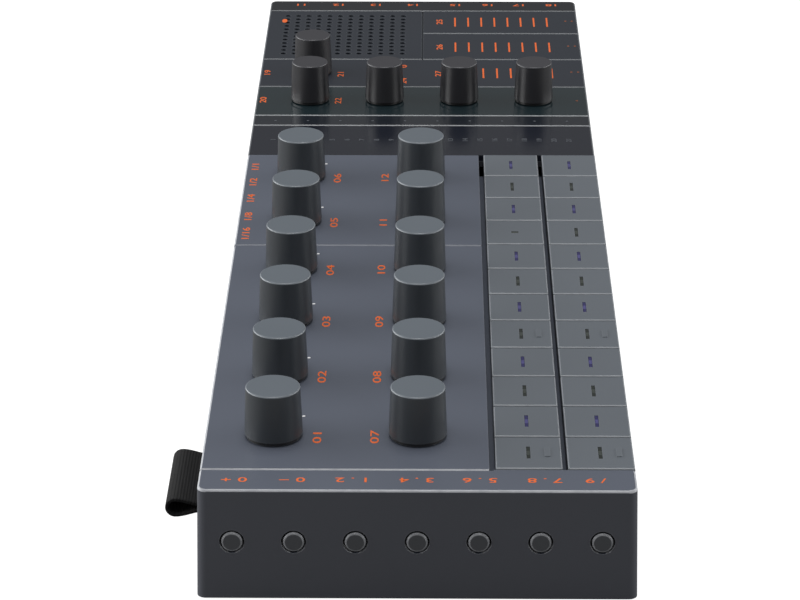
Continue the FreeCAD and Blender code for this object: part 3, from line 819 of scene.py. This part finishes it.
def lensMaterial(name, dark, light):
    # dark at both ends and lighter in the middle, along each key
    material, tree, shader = newMaterial(name)
    shader.inputs["Roughness"].default_value = lens["rough"]
    fromStart = mathNode(tree, "SUBTRACT", objectAxis(tree, "X"), keyStart * mm)
    alongKey = mathNode(tree, "FRACT", mathNode(tree, "DIVIDE", fromStart, keyPitch * mm))
    offMiddle = mathNode(tree, "ABSOLUTE", mathNode(tree, "SUBTRACT", alongKey, 0.5))
    middle = mathNode(tree, "LESS_THAN", offMiddle, lens["middleShare"])
    grained = groupNode(tree, grainGroup, Scale=lens["grain"], Drift_Scale=lens["drift"])
    body = mixColour(tree, middle, screen(*dark), screen(*light))
    patch = mathNode(tree, "MULTIPLY", grained.outputs["Drift"], lens["patchShare"])
    smudged = mixColour(tree, patch, body, screen(*lens["patchTone"]))
    tree.links.new(smudged, shader.inputs["Base Color"])
    return material


def boxMesh(name, low, high, rounding):
    shape = bmesh.new()
    bmesh.ops.create_cube(shape, size=1.0)
    for v in shape.verts:
        v.co = Vector(high[i] if v.co[i] > 0 else low[i] for i in range(3))
    bmesh.ops.bevel(shape, geom=shape.edges[:], offset=rounding * mm, segments=2, profile=0.5,
                    affect="EDGES")
    return meshFrom(shape, name)


def makeLenses():
    # every other key has a violet lens, and one key has a short dash across it
    greyLens = lensMaterial("greyLens", *lens["greyTones"])
    violetLens = lensMaterial("violetLens", *lens["violetTones"])
    top = (keyFaceZ - lens["sunk"]) * mm
    bottom = top - lens["thick"] * mm
    for side in ("rear", "front"):
        for i in range(keyCount):
            key = "%s_key_%d" % (side, i + 1)
            low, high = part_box(key)
            x, y = (low[0] + high[0]) / 2, (low[1] + high[1]) / 2
            long, wide = lens["length"] * mm / 2, lens["width"] * mm / 2
            if side == "rear" and i == lens["dashKey"]:
                long, wide = lens["dashWidth"] * mm / 2, lens["dashLength"] * mm / 2
            corners = (x - long, y - wide, bottom), (x + long, y + wide, top)
            mesh = boxMesh(key + "_lens", *corners, lens["edge"])
            newPiece(key + "_lens", mesh, key, violetLens if i % 2 else greyLens)


makeLenses()
print("key lenses are in")


# Cover screws, under the case

screws = {
    "x": (-144.6, -15.0, 155.0),
    "y": 42.2,
    "head": 5.2,
    "crownShare": 0.84,
    "height": 1.0,
    "edge": 0.25,
    "sides": 40,
    "seat": 1.85,
    "cross": 3.0,
    "slot": 0.7,
    "slotDepth": 0.6,
    "slotEdge": 0.05,
    "turn": 0.7,
    "turnStep": 0.5,
}


def screwSteel():
    material = plastic("screwSteel", screen(60, 60, 62), 0.32, grain=3000.0)
    material.node_tree.nodes["Principled BSDF"].inputs["Metallic"].default_value = 1.0
    return material


def headMesh(r, h):
    shape = bmesh.new()
    bmesh.ops.create_cone(shape, cap_ends=True, segments=screws["sides"], depth=h,
                          radius1=r * screws["crownShare"], radius2=r)
    rim = [e for e in shape.edges if all(v.co.z < 0 for v in e.verts) and len(e.link_faces) == 2]
    bmesh.ops.bevel(shape, geom=rim, offset=screws["edge"] * mm, segments=3, profile=0.6, affect="EDGES")
    return meshFrom(shape, "screwHead")


def screwShape():
    # one pan head with a cross recess, its crown downwards
    h = screws["height"] * mm
    head = link(bpy.data.objects.new("screwHead", headMesh(screws["head"] / 2 * mm, h)))
    cutters = []
    for long, wide in ((screws["cross"], screws["slot"]), (screws["slot"], screws["cross"])):
        low = (-long * mm / 2, -wide * mm / 2, -h)
        high = (long * mm / 2, wide * mm / 2, -h / 2 + screws["slotDepth"] * mm)
        mesh = boxMesh("screwSlot", low, high, screws["slotEdge"])
        cutters.append(link(bpy.data.objects.new("screwSlot", mesh)))
    for cutter in cutters:
        cut = head.modifiers.new("slot", "BOOLEAN")
        cut.object = cutter
        cut.solver = "EXACT"
    done = finalMesh(head)
    for thing in [head] + cutters:
        bpy.data.objects.remove(thing)
    return link(bpy.data.objects.new("screwHead", done))


def makeScrewTree():
    # a row of copies of one head, each turned a little further
    tree, start, end = geometryTree("screwPlaces", [
        ("Start", "NodeSocketVector", (0, 0, 0)),
        ("Step", "NodeSocketVector", (0, 0.08, 0)),
        ("Count", "NodeSocketInt", 2),
        ("Turn", "NodeSocketFloat", 0.4),
        ("Head", "NodeSocketObject", None),
        ("Material", "NodeSocketMaterial", None)])
    info = addNode(tree, "GeometryNodeObjectInfo")
    tree.links.new(start.outputs["Head"], info.inputs["Object"])
    index = addNode(tree, "GeometryNodeInputIndex")
    ordinal = mathNode(tree, "ADD", index.outputs[0], 1.0)
    spin = addNode(tree, "ShaderNodeCombineXYZ")
    tree.links.new(mathNode(tree, "MULTIPLY", ordinal, start.outputs["Turn"]), spin.inputs["Z"])
    copies = addNode(tree, "GeometryNodeInstanceOnPoints")
    tree.links.new(lineOfPlaces(tree, start), copies.inputs["Points"])
    tree.links.new(info.outputs["Geometry"], copies.inputs["Instance"])
    tree.links.new(spin.outputs[0], copies.inputs["Rotation"])
    finishTree(tree, copies.outputs["Instances"], start.outputs["Material"], end)
    return tree


def makeScrews():
    head = screwShape()
    tree = makeScrewTree()
    steel = screwSteel()
    for i, x in enumerate(screws["x"]):
        values = {
            "Start": tuple(place(x, -screws["y"], screws["seat"] - screws["height"] / 2)),
            "Step": (0, 2 * screws["y"] * mm, 0),
            "Count": 2,
            "Turn": screws["turn"] + screws["turnStep"] * i,
            "Head": head,
            "Material": steel,
        }
        growPiece("coverScrews%d" % (i + 1), tree, values, "case")
    bpy.data.objects.remove(head)


makeScrews()
print("cover screws are in")


# Fabric tag

tag = {
    "x": -141.1,
    "z": 13.6,
    "wallY": 48.2,
    "inset": 0.6,
    "reach": 8.3,
    "width": 25.6,
    "root": 1.9,
    "swell": 4.5,
    "thick": 0.7,
    "softEdge": 0.15,
    "steps": 14,
    "across": 26,
}


def tagPath():
    # the strap's middle line in the YZ plane: out of the wall below, round the fold and back above
    r = (tag["swell"] - tag["thick"]) / 2
    rootHalf = (tag["root"] - tag["thick"]) / 2
    bendY = tag["wallY"] + tag["reach"] - tag["thick"] / 2 - r
    startY = tag["wallY"] - tag["inset"]
    steps = tag["steps"]
    low = []
    for i in range(steps):
        t = i / (steps - 1)
        ease = t * t * (3 - 2 * t)
        low.append((startY + (bendY - startY) * t, -rootHalf - (r - rootHalf) * ease))
    bend = []
    for i in range(1, steps):
        a = -math.pi / 2 + math.pi * i / steps
        bend.append((bendY + r * math.cos(a), r * math.sin(a)))
    return low + bend + [(y, -z) for y, z in reversed(low)]


def strapMesh(line, runs):
    # a strip along the line, with its width and its run as UV
    shape = bmesh.new()
    uv = shape.loops.layers.uv.new("weave")
    rows = []
    for (y, z), run in zip(line, runs):
        row = []
        for j in range(tag["across"] + 1):
            across = tag["width"] * (j / tag["across"] - 0.5)
            row.append((shape.verts.new(place(tag["x"] + across, y, tag["z"] + z)), across, run))
        rows.append(row)
    for a, b in zip(rows, rows[1:]):
        for i in range(tag["across"]):
            corners = (a[i], a[i + 1], b[i + 1], b[i])
            face = shape.faces.new([c[0] for c in corners])
            for loop, corner in zip(face.loops, corners):
                loop[uv].uv = (corner[1] * mm, corner[2] * mm)
            face.smooth = True
    return meshFrom(shape, "tagStrap")


def thickened(mesh):
    carrier = link(bpy.data.objects.new("tagStrap", mesh))
    wall = carrier.modifiers.new("thickness", "SOLIDIFY")
    wall.thickness = tag["thick"] * mm
    wall.offset = 0
    soften = carrier.modifiers.new("edge", "BEVEL")
    soften.width = tag["softEdge"] * mm
    soften.segments = 2
    soften.limit_method = "ANGLE"
    final = finalMesh(carrier)
    bpy.data.objects.remove(carrier)
    final.name = "tagStrap"
    return final


cloth = {
    "rough": 0.85,
    "specular": 0.25,
    "sheen": 0.06,
    "sheenRough": 0.5,
    "ribContrast": 0.6,
    "ribDepth": 0.00008,
    "threads": ((9, 9, 10), (24, 24, 26)),
    # the near black of the painted shade between the ribs
    "gapShade": (4, 4, 4),
}


def tagCloth():
    # black ribbon with painted shade in the gaps at the roots of its ribs and rib tops lightened as
    # painted highlight
    material, tree, shader = newMaterial("tagCloth")
    shader.inputs["Roughness"].default_value = cloth["rough"]
    shader.inputs["Specular IOR Level"].default_value = cloth["specular"]
    shader.inputs["Sheen Weight"].default_value = cloth["sheen"]
    shader.inputs["Sheen Roughness"].default_value = cloth["sheenRough"]
    woven = groupNode(tree, weaveGroup)
    lifted = mathNode(tree, "ADD", woven.outputs["Height"], weaveShape["warpHeight"])
    raised = mathNode(tree, "MULTIPLY", lifted, cloth["ribContrast"], clamp=True)
    dark, light = cloth["threads"]
    thread = mixColour(tree, woven.outputs["Fuzz"], screen(*dark), screen(*light))
    ribbed = mixColour(tree, raised, screen(*cloth["gapShade"]), thread)
    tree.links.new(ribbed, shader.inputs["Base Color"])
    bump = addNode(tree, "ShaderNodeBump")
    bump.inputs["Distance"].default_value = cloth["ribDepth"]
    tree.links.new(woven.outputs["Height"], bump.inputs["Height"])
    tree.links.new(bump.outputs["Normal"], shader.inputs["Normal"])
    return material


def makeTag():
    line = tagPath()
    runs = [0.0]
    for a, b in zip(line, line[1:]):
        runs.append(runs[-1] + math.dist(a, b))
    piece = newPiece("tagStrap", thickened(strapMesh(line, runs)), "case", tagCloth())
    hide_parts("fabric_tag")


makeTag()
print("fabric tag is folded")
